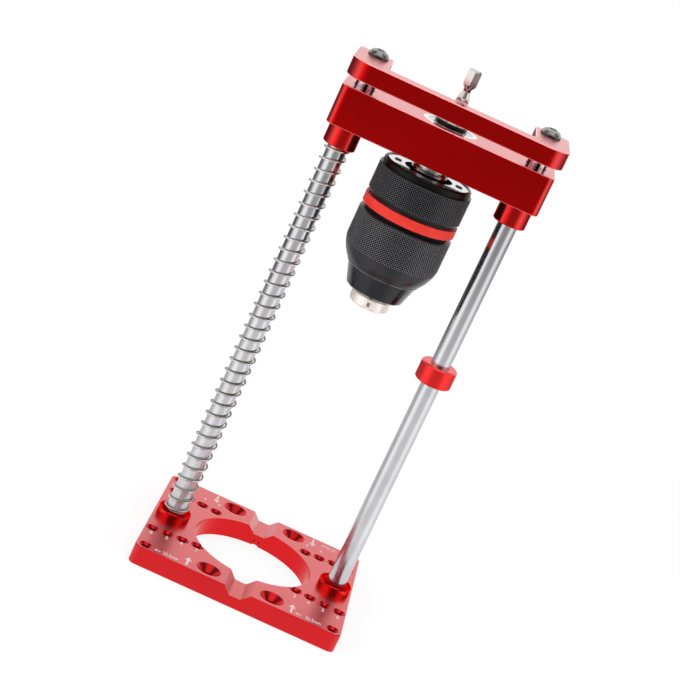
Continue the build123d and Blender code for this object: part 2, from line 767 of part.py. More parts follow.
# Return spring round the left column: open coils with closed turns at both ends. The wire
# is a hexagonal bar along straight steps, so that thirty-odd turns stay light.
spring_low_z = foot_top_z + wire_d / 2 * 1.15 + stack_gap
spring_rise = sleeve_z - foot_top_z - wire_d * 1.15 - 2 * stack_gap
steps = round(spring_turns * steps_per_turn)
open_share = [
    min(1.0, min(i + 0.5, steps - i - 0.5) / steps_per_turn / end_turns) for i in range(steps)
]
close_rise = wire_d * 1.15 / steps_per_turn
open_rise = (spring_rise - close_rise * steps) / sum(open_share)
height = spring_low_z
spring_points = []
for i in range(steps + 1):
    turn = radians(spring_start + 360 * i / steps_per_turn)
    x = -half_spacing + spring_mean_d / 2 * cos(turn)
    y = spring_mean_d / 2 * sin(turn)
    spring_points.append((x, y, height))
    if i < steps:
        height += close_rise + open_rise * open_share[i]
with BuildPart() as return_spring:
    with BuildLine() as coil:
        Polyline(*spring_points)
    with BuildSketch(coil.line ^ 0):
        RegularPolygon(wire_d / 2 * 1.05, wire_sides)
    sweep(transition=Transition.RIGHT)
return_spring.part.label = "return_spring"
export_step(return_spring.part, "parts/return_spring.step")
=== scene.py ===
import json
from math import cos, pi, radians, sin

import bmesh
import bpy
from mathutils import Matrix, Vector


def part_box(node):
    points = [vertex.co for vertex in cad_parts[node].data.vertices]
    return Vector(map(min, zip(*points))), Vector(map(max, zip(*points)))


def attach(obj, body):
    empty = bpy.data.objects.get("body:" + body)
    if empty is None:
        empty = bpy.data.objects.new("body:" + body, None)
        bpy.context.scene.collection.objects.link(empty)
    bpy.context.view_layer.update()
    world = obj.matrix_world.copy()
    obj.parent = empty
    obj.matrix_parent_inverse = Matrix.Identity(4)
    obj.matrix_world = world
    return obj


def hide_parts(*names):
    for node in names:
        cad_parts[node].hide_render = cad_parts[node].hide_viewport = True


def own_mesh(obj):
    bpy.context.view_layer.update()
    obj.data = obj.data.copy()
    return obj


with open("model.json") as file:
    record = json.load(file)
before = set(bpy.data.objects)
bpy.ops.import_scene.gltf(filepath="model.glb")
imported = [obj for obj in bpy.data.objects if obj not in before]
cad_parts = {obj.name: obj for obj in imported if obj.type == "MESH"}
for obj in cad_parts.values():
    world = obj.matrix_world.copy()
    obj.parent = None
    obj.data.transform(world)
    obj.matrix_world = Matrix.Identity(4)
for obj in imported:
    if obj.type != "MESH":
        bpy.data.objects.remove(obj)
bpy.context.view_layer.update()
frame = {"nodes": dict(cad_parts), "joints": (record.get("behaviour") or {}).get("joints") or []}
nodes = frame["nodes"]


# The base plate is one milled aluminium plate, bead blasted and anodised red. The red dye sits
# under a thin clear oxide, so the flat faces mirror pale at a low angle and stay deep red when
# they are looked at squarely. Every red part of the jig has this finish.
class Socket:
    """One output in a material's nodes; arithmetic on it adds Math nodes."""

    def __init__(self, tree, output=None):
        self.tree, self.output = tree, output

    def node(self, kind, settings=None, sockets=None, output=0):
        """Adds a node, sets it up, then fills its sockets with values or other Sockets."""
        made = self.tree.nodes.new(kind)
        for name, value in (settings or {}).items():
            setattr(made, name, value)
        for name, value in (sockets or {}).items():
            if isinstance(value, Socket):
                self.tree.links.new(value.output, made.inputs[name])
            else:
                made.inputs[name].default_value = value
        return Socket(self.tree, made.outputs[output] if made.outputs else None)

    def also(self, output):
        """Another output of the same node."""
        return Socket(self.tree, self.output.node.outputs[output])

    def maths(self, operation, *terms):
        return self.node("ShaderNodeMath", {"operation": operation}, dict(enumerate(terms)))

    def __add__(self, other):
        return self.maths("ADD", self, other)

    def __sub__(self, other):
        return self.maths("SUBTRACT", self, other)

    def __rsub__(self, other):
        return self.maths("SUBTRACT", other, self)

    def __mul__(self, other):
        return self.maths("MULTIPLY", self, other)

    def __truediv__(self, other):
        return self.maths("DIVIDE", self, other)

    __radd__ = __add__
    __rmul__ = __mul__

    def between(self, low, high, start=0.0, end=1.0):
        """Start below low, end above high, and a smooth change between."""
        settings = {"interpolation_type": "SMOOTHSTEP"}
        return self.node("ShaderNodeMapRange", settings, {0: self, 1: low, 2: high, 3: start, 4: end})

    def tint(self, one, other):
        """The colour one where this socket is 0, and other where it is 1."""
        sockets = {0: self, 6: one, 7: other}
        return self.node("ShaderNodeMix", {"data_type": "RGBA"}, sockets, output=2)


def new_finish(name):
    """An empty material and the start of its nodes."""
    finish = bpy.data.materials.new(name)
    finish.use_nodes = True
    finish.node_tree.nodes.clear()
    return finish, Socket(finish.node_tree)


def place_in(start):
    """The point in the part's own frame, in metres, which moves with the piece."""
    return start.node("ShaderNodeTexCoord", output=3)


def apart(start, at):
    """The three numbers of a place or a direction."""
    parts = start.node("ShaderNodeSeparateXYZ", None, {"Vector": at})
    return parts, parts.also(1), parts.also(2)


def slope_of(start):
    """How far the surface faces up: 1 on a top, 0 on an upright wall and -1 on an underside."""
    return apart(start, start.node("ShaderNodeTexCoord", output=1))[2]


def grain(start, at, per_metre, detail=2.0):
    """An even random grain between 0 and 1."""
    return start.node("ShaderNodeTexNoise", None, {"Vector": at, "Scale": per_metre, "Detail": detail})


def dress(piece, finish):
    """Gives the finish to all of a piece's material slots."""
    if not piece.data.materials:
        piece.data.materials.append(finish)
    for slot in range(len(piece.data.materials)):
        piece.data.materials[slot] = finish


def anodised_red(
    name, dye, grain_size, blast, gloss, film, skin=0.0, cut=None, patches=(), turn=0.35, edge=1.0
):
    """The dyed metal, rough with the blast's grain, under its clear oxide. The oxide mirrors with
    the strength skin where it is seen squarely, turn where the surface turns away, and film on
    tops at a low angle. Cut masks faces cut after the blasting, which are smoother and show no
    oxide. Each patch is a mask, its colour and how dull it is. Edge is the share of green and
    blue that the metal mirrors where it turns away."""
    finish, start = new_finish(name)
    at = place_in(start)
    cloud = grain(start, at, 28.0)
    fine = grain(start, at, 1 / grain_size, 3.0)
    deep = tuple(0.94 * part for part in dye) + (1,)
    pale = tuple(1.06 * part for part in dye) + (1,)
    bump = start.node("ShaderNodeBump", None, {"Strength": blast, "Distance": 0.00004, "Height": fine})
    facing = start.node("ShaderNodeLayerWeight", None, {"Blend": 0.5}, 1)
    colour = (cloud * 0.7 + fine * 0.3).between(0.3, 0.7).tint(deep, pale)
    metal = 1.0
    for mask, shade, dull in patches:
        here = mask(start, at)
        colour = here.tint(colour, shade)
        metal = metal - here * dull
    roughness = gloss - 0.03 + cloud * 0.06
    upward = slope_of(start)
    coat = facing.between(0.05, 0.16, skin, turn) + facing.between(0.30, 0.62, 0.0, film - turn)
    # upright walls lose most of the oxide's mirror where they turn away, and undersides all of it
    flank = facing.between(0.35, 0.62) * (1 - start.maths("ABSOLUTE", upward).between(0.3, 0.6))
    coat = coat * upward.between(-0.8, -0.5) * (1 - 0.9 * flank)
    if cut:
        wall = cut(start, at)
        cut_gloss = 0.20
        roughness = roughness * (1 - wall) + cut_gloss * wall
        coat = coat * (1 - wall)
    shader = start.node("ShaderNodeBsdfPrincipled", None, {
        "Base Color": colour,
        "Metallic": metal,
        "Roughness": roughness,
        "Normal": bump,
        "Specular Tint": (1.0, edge, edge, 1),
        "Coat Weight": coat,
        "Coat IOR": 1.6,
        "Coat Roughness": 0.22,
    })
    start.node("ShaderNodeOutputMaterial", None, {"Surface": shader})
    return finish


plate_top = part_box("base_plate")[1].z
# just inside the plate's side walls, its front and back walls, and its cut corners
inside_x, inside_y, inside_corner = 0.0540, 0.0510, 0.1034
# just outside the opening's wall, and beside the sight notches
opening_r, notch_half = 0.0321, 0.0071


def hole_walls(start, at):
    """1 inside the plate's drilled holes and the opening, and 0 on its outer faces and notches."""
    x, y, z = apart(start, at)
    x, y = start.maths("ABSOLUTE", x), start.maths("ABSOLUTE", y)
    below = 1 - z.between(plate_top - 0.00010, plate_top - 0.00004)
    inward = 1 - x.between(inside_x, inside_x + 0.0004)
    inward = inward * (1 - y.between(inside_y, inside_y + 0.0004))
    inward = inward * (1 - (x + y).between(inside_corner, inside_corner + 0.0002))
    opening = 1 - start.maths("SQRT", x * x + y * y).between(opening_r, opening_r + 0.0002)
    return below * inward * start.maths("MAXIMUM", opening, x.between(notch_half, notch_half + 0.0002))


plate_red = anodised_red("plate_red", (0.70, 0.018, 0.022), 0.00035, 0.12, 0.36, 0.85, cut=hole_walls)
dress(nodes["base_plate"], plate_red)


# Pale marks on the plate: numerals at the pin holes, arrows, and a cup distance along the front
# and back edges. A laser burns them through the red, so they are a few hundredths thick and
# rough. They ride on the plate that they are burnt into.
mark_height = 0.00004
front_digit, back_digit, word, word_narrow = 0.0038, 0.0036, 0.0033, 0.54
long_arrow, short_arrow = (0.0098, 0.0040), (0.0034, 0.0026)
capital = 0.70      # a capital's share of the letters' size
swelling = 0.00006  # how far a burnt line spreads on each side


def numeral(text, x, y, tall, turned=False, narrow=0.62):
    """A flat numeral of the height tall on the plate's top; x and y are its middle in mm."""
    curve = bpy.data.curves.new("mark", "FONT")
    curve.body = text
    curve.size = tall / capital
    curve.align_x = "CENTER"
    curve.align_y = "CENTER"
    curve.extrude = mark_height
    curve.offset = swelling
    curve.resolution_u = 4
    written = bpy.data.objects.new("mark", curve)
    bpy.context.scene.collection.objects.link(written)
    mesh = bpy.data.meshes.new_from_object(written)
    mesh.transform(
        Matrix.Translation((x / 1000, y / 1000, plate_top))
        @ Matrix.Rotation(pi if turned else 0, 4, "Z")
        @ Matrix.Diagonal((narrow, 1, 1, 1))
    )
    bpy.data.objects.remove(written)
    return mesh


def arrow(x, y, length, width, heading):
    """A flat arrow with a barbed head, pointing along heading in degrees, with its middle at x
    and y in mm."""
    shape = [
        (0.5, 0), (0.08, 0.5), (0.14, 0.14), (-0.5, 0.14), (-0.5, -0.14), (0.14, -0.14), (0.08, -0.5),
    ]
    made = bmesh.new()
    ends = []
    for z in (0, mark_height):
        ends.append([made.verts.new((a * length, b * width, z)) for a, b in shape])
    made.faces.new(ends[1])
    for i in range(len(shape)):
        j = (i + 1) % len(shape)
        made.faces.new((ends[0][i], ends[0][j], ends[1][j], ends[1][i]))
    mesh = bpy.data.meshes.new("arrow")
    made.to_mesh(mesh)
    made.free()
    mesh.transform(
        Matrix.Translation((x / 1000, y / 1000, plate_top)) @ Matrix.Rotation(radians(heading), 4, "Z")
    )
    return mesh


marks = []
left_row = (-50.5, -31.3), (-42.4, -29.6), (-34.8, -28.3), (-26.6, -27.9)
right_row = (27.2, -29.9), (34.9, -30.1), (43.0, -31.2), (51.1, -31.8)
for spots, digits in ((left_row, "6543"), (right_row, "3456")):
    for (x, y), digit in zip(spots, digits):
        marks.append(numeral(digit, x, y, front_digit))
for side in (-1, 1):
    for x, digit in ((25.6, "3"), (33.6, "4")):
        marks.append(numeral(digit, side * x, 38.6, back_digit, turned=True))
    marks.append(arrow(side * 28.0, -44.8, *long_arrow, 90))
    marks.append(arrow(side * 28.0, 45.0, *long_arrow, -90))
marks.append(arrow(-43.6, -48.0, *short_arrow, 180))
marks.append(arrow(31.8, -47.8, *short_arrow, 180))
marks.append(numeral("22.5mm", -36.6, -47.8, word, narrow=word_narrow))
marks.append(numeral("22.5mm", 39.8, -47.9, word, narrow=word_narrow))
marks.append(numeral("22.5mm", 36.8, 46.5, word, turned=True, narrow=word_narrow))

joined = bmesh.new()
for mesh in marks:
    joined.from_mesh(mesh)
    bpy.data.meshes.remove(mesh)
marks_mesh = bpy.data.meshes.new("plate_marks")
joined.to_mesh(marks_mesh)
joined.free()
plate_marks = bpy.data.objects.new("plate_marks", marks_mesh)
bpy.context.scene.collection.objects.link(plate_marks)

finish, start = new_finish("laser_mark")
speckle = grain(start, place_in(start), 5200.0)
shader = start.node("ShaderNodeBsdfPrincipled", None, {
    "Base Color": speckle.between(0.35, 0.65).tint((0.58, 0.38, 0.37, 1), (0.76, 0.62, 0.60, 1)),
    "Roughness": 0.55 + speckle * 0.2,
})
start.node("ShaderNodeOutputMaterial", None, {"Surface": shader})
dress(plate_marks, finish)
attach(plate_marks, "frame")


# The foot collars are turned aluminium rings that stand on the plate round the columns' feet.
# They are brighter than the plate, because turning leaves them smoother under the red.
def shaded_collar_top(start, at):
    """1 on the collars' flat tops, which are painted a deeper red as painted shade."""
    return slope_of(start).between(0.5, 0.9)


def painted_reflection_stripes(start, at):
    """1 on the painted reflection: dark upright stripes painted on the collars' polished fronts."""
    x, y, z = apart(start, at)
    across = (x - start.maths("SIGN", x) * collar_x) / collar_r
    middle = across.between(-0.24, -0.04) * (1 - across.between(0.12, 0.32))
    edges = across.between(0.62, 0.80) + 1 - across.between(-0.82, -0.64)
    stripes = 0.65 * (middle + edges) * (y * -1.0).between(0.0, 0.004)
    return stripes * (1 - slope_of(start).between(0.1, 0.3))


collar_x = (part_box("foot_collar_right")[0].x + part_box("foot_collar_right")[1].x) / 2
collar_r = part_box("foot_collar_right")[1].x - collar_x
# painted shade makes the collars' tops a deeper red, and a painted reflection puts dark upright stripes
# on their fronts
collar_red = anodised_red(
    "collar_red", (0.95, 0.010, 0.012), 0.00025, 0.05, 0.14, 0.35, 0.1,
    cut=shaded_collar_top, patches=[
        (shaded_collar_top, (0.50, 0.008, 0.010, 1), 0.0),
        (painted_reflection_stripes, (0.24, 0.002, 0.003, 1), 0.0),
    ], edge=0.4,
)
for side in ("left", "right"):
    dress(nodes["foot_collar_" + side], collar_red)


# The columns are ground and polished steel shafts, tapped and screwed at both ends. Fine rings
# from the grinding wheel run round them, too shallow to feel, and blur what they mirror a little
# along their length.
def bright_steel(
    name, colour, gloss, rings=0.0, ring_size=0.0004, across=1.0, polished=None, dark=None, oiled=None
):
    """Steel that mirrors with the roughness gloss. Its tool marks have the depth rings and lie
    ring_size apart, and across below 1 draws them out round the part. Masks say where it is
    polished sharper, where a nearly black painted reflection goes and where oil dulls it."""
    finish, start = new_finish(name)
    at = place_in(start)
    stretched = start.node("ShaderNodeMapping", None, {"Vector": at, "Scale": (across, across, 1.0)})
    lines = grain(start, stretched, 1 / ring_size, 2.0)
    cloud = grain(start, at, 60.0)
    darker = tuple(0.90 * part for part in colour)
    roughness = gloss + (cloud - 0.5) * 0.05 + (lines - 0.5) * 0.06
    if polished:
        smooth = polished(start, at)
        polished_gloss = 0.07
        roughness = roughness * (1 - smooth) + polished_gloss * smooth
    shade = cloud.between(0.3, 0.7).tint((*darker, 1), (*colour, 1))
    # the dark mask paints a nearly black reflection into the colour
    if dark:
        painted_reflection_black = (0.012, 0.010, 0.010, 1)
        shade = dark(start, at).tint(shade, painted_reflection_black)
    bump = start.node("ShaderNodeBump", None, {"Strength": rings, "Distance": 0.00003, "Height": lines})
    shader = start.node("ShaderNodeBsdfPrincipled", None, {
        "Base Color": shade,
        "Metallic": 1 - 0.45 * oiled(start, at) if oiled else 1.0,
        "Roughness": roughness,
        "Normal": bump,
    })
    start.node("ShaderNodeOutputMaterial", None, {"Surface": shader})
    return finish


def upper_ends(start, at):
    """1 on the columns' upper ends, which the bushes never blur."""
    return apart(start, at)[2].between(0.247, 0.250)


def painted_reflection_bands(start, at):
    """1 on the painted reflection: dark upright bands painted on the columns' ends between the two
    bars.
    """
    x, y, z = apart(start, at)
    across = (x - start.maths("SIGN", x) * column_x) / column_r
    middle = across.between(-0.06, 0.02) * (1 - across.between(0.22, 0.30))
    edges = across.between(0.66, 0.74) + 1 - across.between(-0.76, -0.68)
    return (middle + edges) * upper_ends(start, at) * (y * -1.0).between(0.0, 0.001)


def oily_foot(start, at):
    """1 at the left column's foot, where the spring's oil collects."""
    x, y, z = apart(start, at)
    return (1 - z.between(0.030, 0.085)) * (1 - x.between(-0.01, 0.01))


column_x = (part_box("column_right")[0].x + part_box("column_right")[1].x) / 2
column_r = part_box("column_right")[1].x - column_x
ground_steel = bright_steel(
    "ground_steel", (0.62, 0.62, 0.65), 0.19, 0.05, 0.0003, 0.04, upper_ends, painted_reflection_bands, oily_foot
)
for side in ("left", "right"):
    dress(nodes["column_" + side], ground_steel)


# Button-head screws tie the bar to the columns, countersunk ones hold the columns' feet, and a
# grub screw locks the stop. All are high-tensile steel with a dark oiled finish.
def dark_steel(name, colour, gloss, shine=0.85):
    """Blackened steel, with a painted reflection that makes its upright walls nearly black."""
    finish, start = new_finish(name)
    cloud = grain(start, place_in(start), 420.0, 4.0)
    shade = cloud.between(0.35, 0.65).tint((*colour, 1), tuple(1.5 * part for part in colour) + (1,))
    # painted reflection: the upright walls' colour goes nearly black
    upright = 1 - start.maths("ABSOLUTE", slope_of(start)).between(0.20, 0.55)
    painted_reflection_black = (0.012, 0.012, 0.012, 1)
    shader = start.node("ShaderNodeBsdfPrincipled", None, {
        "Base Color": (0.8 * upright).tint(shade, painted_reflection_black),
        "Metallic": shine,
        "Roughness": gloss + (cloud - 0.5) * 0.12,
    })
    start.node("ShaderNodeOutputMaterial", None, {"Surface": shader})
    return finish


screw_dark = dark_steel("screw_dark", (0.045, 0.047, 0.05), 0.30)
dress(nodes["bar_screws"], dark_steel("screw_grey", (0.27, 0.27, 0.26), 0.22, 1.0))
dress(nodes["foot_screws"], screw_dark)
dress(nodes["stop_screw"], screw_dark)


# The depth stop is a turned and anodised collar that a grub screw locks on its column. The tie
# bar and the carriage are milled from flat bar and anodised after. Their broken edges are
# painted pale as a painted highlight, and the carriage's underside over the chuck is painted shade.
def upper_bevels_painted_highlight(start, at):
    """1 on the narrow edges that slope up and out, which are painted pale as a painted highlight."""
    slope = slope_of(start)
    return slope.between(0.45, 0.60) * (1 - slope.between(0.80, 0.92))


def lower_bevels_painted_highlight(start, at):
    """1 on the narrow edges that slope down and out, which are painted lighter as a painted highlight.
    """
    slope = slope_of(start)
    return slope.between(-0.92, -0.80) * (1 - slope.between(-0.60, -0.45))


def painted_shade_over_chuck(start, at):
    """1 on the carriage's underside over the chuck, which is painted nearly black as painted shade."""
    x, y, z = apart(start, at)
    near = 1 - start.maths("SQRT", x * x + y * y).between(0.021, 0.025)
    return near * (1 - slope_of(start).between(-0.9, -0.7))


bar_red = anodised_red(
    "bar_red", (0.68, 0.006, 0.006), 0.00035, 0.08, 0.26, 1.0,
    patches=[
        (upper_bevels_painted_highlight, (0.96, 0.30, 0.31, 1), 0.65),
        (lower_bevels_painted_highlight, (0.90, 0.12, 0.13, 1), 0.3),
        (painted_shade_over_chuck, (0.05, 0.004, 0.004, 1), 0.0),
    ], turn=0.75, edge=0.5,
)
stop_red = anodised_red(
    "stop_red", (0.84, 0.016, 0.016), 0.00025, 0.05, 0.30, 0.75, 0.2,
    patches=[(upper_bevels_painted_highlight, (0.84, 0.05, 0.05, 1), 0.6)], edge=0.6,
)
dress(nodes["stop_collar"], stop_red)
dress(nodes["tie_bar"], bar_red)
dress(nodes["carriage_block"], bar_red)


# The guide sleeves are turned and anodised, and pressed up into the carriage. Sintered bronze
# bushes inside them run on the columns, and oil stands in their pores.
bronze, start = new_finish("sintered_bronze")
pores = grain(start, place_in(start), 1500.0, 3.0)
shader = start.node("ShaderNodeBsdfPrincipled", None, {
    "Base Color": pores.between(0.3, 0.6).tint((0.22, 0.13, 0.05, 1), (0.55, 0.36, 0.16, 1)),
    "Metallic": 0.9,
    "Roughness": 0.5 - pores * 0.15,
})
start.node("ShaderNodeOutputMaterial", None, {"Surface": shader})
turned_red = anodised_red(
    "turned_red", (0.68, 0.008, 0.008), 0.00025, 0.05, 0.22, 0.35, 0.1, turn=0.6, edge=0.35
)
for side in ("left", "right"):
    dress(nodes["guide_sleeve_" + side], turned_red)
    dress(nodes["guide_bush_" + side], bronze)


# The return spring is one length of round spring wire, wound right-handed with a closed turn
# at each end. It stands on the left foot collar and pushes up the carriage's sleeve.
wire_r = 0.00055
coil_r = 0.0060
coil_turns = 33.83
coil_start = radians(120)
closed_turns = 1.0
wire_sides = 10
points_per_turn = 24
spring_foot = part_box("foot_collar_left")[1].z
spring_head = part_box("guide_sleeve_left")[0].z
travel = -min(next(j for j in frame["joints"] if j["name"] == "carriage_slide")["range_m"])
closed_lay = 2.3 * wire_r   # from one closed turn to the next
seat_gap = 0.00002          # at each end

steps = round(coil_turns * points_per_turn)
closed_rise = closed_lay / points_per_turn
share = []
for i in range(steps):
    from_end = min(i + 0.5, steps - i - 0.5) / points_per_turn
    share.append(min(1.0, from_end / closed_turns))
open_rise = (spring_head - spring_foot - closed_lay - closed_rise * steps - 2 * seat_gap) / sum(share)
coil = bmesh.new()
rings = []
z = spring_foot + closed_lay / 2 + seat_gap
for i in range(steps + 1):
    turn = coil_start + 2 * pi * i / points_per_turn
    outward = Vector((cos(turn), sin(turn), 0))
    axis = Vector((-column_x, 0, z))
    ring = []
    for k in range(wire_sides):
        a = 2 * pi * k / wire_sides
        corner = axis + outward * (coil_r + wire_r * cos(a)) + Vector((0, 0, wire_r * sin(a)))
        ring.append(coil.verts.new(corner))
    rings.append(ring)
    if i < steps:
        z += closed_rise + open_rise * share[i]
for one, two in zip(rings, rings[1:]):
    for k in range(wire_sides):
        m = (k + 1) % wire_sides
        coil.faces.new((one[k], two[k], two[m], one[m])).smooth = True
coil.faces.new(rings[0])
coil.faces.new(reversed(rings[-1]))
bmesh.ops.recalc_face_normals(coil, faces=coil.faces)
coil_mesh = bpy.data.meshes.new("spring_coil")
coil.to_mesh(coil_mesh)
coil.free()
spring_coil = bpy.data.objects.new("spring_coil", coil_mesh)
bpy.context.scene.collection.objects.link(spring_coil)


def wire_top_painted_reflection(start, at):
    """Painted reflection: the wire's upper side is painted dark, less so on the top turns."""
    height = apart(start, at)[2]
    return (0.72 - 0.47 * height.between(0.13, 0.18)) * slope_of(start).between(0.40, 0.90)


spring_wire = bright_steel("spring_wire", (0.76, 0.72, 0.67), 0.15, 0.03, 0.0005, dark=wire_top_painted_reflection)
dress(spring_coil, spring_wire)
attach(spring_coil, "frame")
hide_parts("return_spring")
1 - travel / (spring_head - spring_foot)
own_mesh(spring_coil)


# Two shielded ball bearings sit in the carriage, bright ground races with pressed shields, black
# in the lower one. A black ring nut clamps them on the spindle.
race_steel = bright_steel("race_steel", (0.88, 0.88, 0.86), 0.16, 0.04, 0.0003)
shield_steel = bright_steel("shield_steel", (0.80, 0.80, 0.78), 0.34, 0.05, 0.0006)
dark_seal = dark_steel("dark_seal", (0.010, 0.010, 0.011), 0.45, 0.2)
for place in ("upper", "lower"):
    for part in ("outer", "inner", "balls"):
        dress(nodes[f"bearing_{place}_{part}"], race_steel)
    dress(nodes[f"bearing_{place}_shields"], shield_steel if place == "upper" else dark_seal)
dress(nodes["bearing_spacer"], race_steel)
dress(nodes["thrust_washer"], race_steel)
dress(nodes["lock_ring"], dark_steel("ring_black", (0.020, 0.020, 0.022), 0.16))


# The spindle and the chuck's end cap are turned steel with a bright nickel plating. The jaws
# and the nut that drives them are hardened and left grey.
def shank_flat_painted_reflection(start, at):
    """Painted reflection: the hexagon shank's flats to the right of the front one are painted dark."""
    sideways = apart(start, start.node("ShaderNodeTexCoord", output=1))[0]
    return 0.75 * sideways.between(0.36, 0.46) * apart(start, at)[2].between(0.2690, 0.2695)


dress(nodes["spindle"], bright_steel(
    "nickel_spindle", (0.72, 0.65, 0.62), 0.11, 0.03, 0.0004, 0.1, dark=shank_flat_painted_reflection,
))
cap_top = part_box("end_cap")[1].z
hub_r = 0.0128   # just outside the hole for the spindle's hub
hole_x = 0.016   # the two small holes' distance from the middle
finish, start = new_finish("nickel_cap")
at = place_in(start)
x, y, z = apart(start, at)
# painted shade and reflection: the hub's hole and the two small holes are painted black as shade, and
# the cap's front black as a dark reflection
cap_painted_shade = 1 - z.between(cap_top - 0.00010, cap_top - 0.00005)
cap_painted_shade = cap_painted_shade * start.maths("SQRT", x * x + y * y).between(hub_r, hub_r + 0.0002)
from_hole = start.maths("ABSOLUTE", start.maths("ABSOLUTE", x) - hole_x)
painted_hole_shade = 1 - from_hole.between(0.0014, 0.0018)
painted_hole_shade = painted_hole_shade * (1 - start.maths("ABSOLUTE", y).between(0.0034, 0.0042))
front = (y * -1.0).between(0.0085, 0.0100)
cap_painted_shade = start.maths("MAXIMUM", cap_painted_shade, start.maths("MAXIMUM", painted_hole_shade, front * 0.97))
turning = grain(start, at, 700.0, 3.0)
shader = start.node("ShaderNodeBsdfPrincipled", None, {
    "Base Color": cap_painted_shade.tint((0.74, 0.72, 0.70, 1), (0.004, 0.004, 0.004, 1)),
    "Metallic": 1 - cap_painted_shade,
    "Roughness": 0.06 + turning * 0.05,
    "Specular IOR Level": 0.04,
})
start.node("ShaderNodeOutputMaterial", None, {"Surface": shader})
dress(nodes["end_cap"], finish)
hard_grey = bright_steel("hard_grey", (0.30, 0.30, 0.31), 0.30, 0.05, 0.0004)
for name in ("jaw_1", "jaw_2", "jaw_3", "chuck_nut"):
    dress(nodes[name], hard_grey)


# The chuck's body is turned steel. Its nose is nickel plated, warm and nearly white, and has
# three shallow slots, painted dark as painted shade. The core that the sleeves turn on is blackened.
chuck_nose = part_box("chuck_body")[0].z * 1000
shaded_slot_half = 3.7                  # half a shaded slot's width, in degrees
shaded_slot_foot, shaded_slot_head = 1.5, 3.6  # its ends' heights over the nose, in mm
finish, start = new_finish("chuck_nickel")
at = place_in(start)
x, y, z = apart(start, at)
height = z * 1000 - chuck_nose
radius = start.maths("SQRT", x * x + y * y) * 1000
blackened = height.between(20.0, 24.0)
bearing = start.maths("ARCTAN2", y, x) * (180 / pi)
from_shaded_slot = start.maths("PINGPONG", bearing + 450, 60.0)
slot_painted_shade = (1 - from_shaded_slot.between(shaded_slot_half, shaded_slot_half + 1.2)) * radius.between(9.0, 9.2)
slot_painted_shade = slot_painted_shade * height.between(shaded_slot_foot, shaded_slot_foot + 0.3)
slot_painted_shade = slot_painted_shade * (1 - height.between(shaded_slot_head, shaded_slot_head + 0.3))
speck = grain(start, at, 900.0, 3.0)
plate = speck.between(0.3, 0.7).tint((0.86, 0.78, 0.73, 1), (0.94, 0.87, 0.82, 1))
shader = start.node("ShaderNodeBsdfPrincipled", None, {
    "Base Color": blackened.tint(slot_painted_shade.tint(plate, (0.30, 0.22, 0.19, 1)), (0.006, 0.006, 0.008, 1)),
    "Metallic": 0.65 * (1 - blackened),
    "Roughness": 0.30 + speck * 0.06 + blackened * 0.2,
    "Specular IOR Level": 0.1,
})
start.node("ShaderNodeOutputMaterial", None, {"Surface": shader})
dress(nodes["chuck_body"], finish)


# The nose cone is machined steel, blued black and polished, so it shows the room in dark bands.
# It sits on the front sleeve's lower end and turns with it.
finish, start = new_finish("cone_black")
smear = grain(start, place_in(start), 90.0, 3.0)
facing = start.node("ShaderNodeLayerWeight", None, {"Blend": 0.5}, 1)
shader = start.node("ShaderNodeBsdfPrincipled", None, {
    "Base Color": smear.between(0.3, 0.7).tint((0.005, 0.005, 0.007, 1), (0.008, 0.008, 0.011, 1)),
    "Roughness": 0.09 + smear * 0.06,
    "Specular IOR Level": 0.30,
    "Coat Weight": facing.between(0.50, 0.62) * 0.35,
    "Coat IOR": 2.1,
    "Coat Roughness": 0.06,
})
start.node("ShaderNodeOutputMaterial", None, {"Surface": shader})
dress(nodes["nose_cone"], finish)


# The two sleeves are blackened steel with a fine diamond knurl rolled into their grips. Each is
# a turned shape whose diamonds are real geometry, and it replaces the plain sleeve of the model.
knurl_depth = 0.34  # mm
knurl_pitch = 1.40
knurl_flat = 0.46   # the worn top's share of a diamond


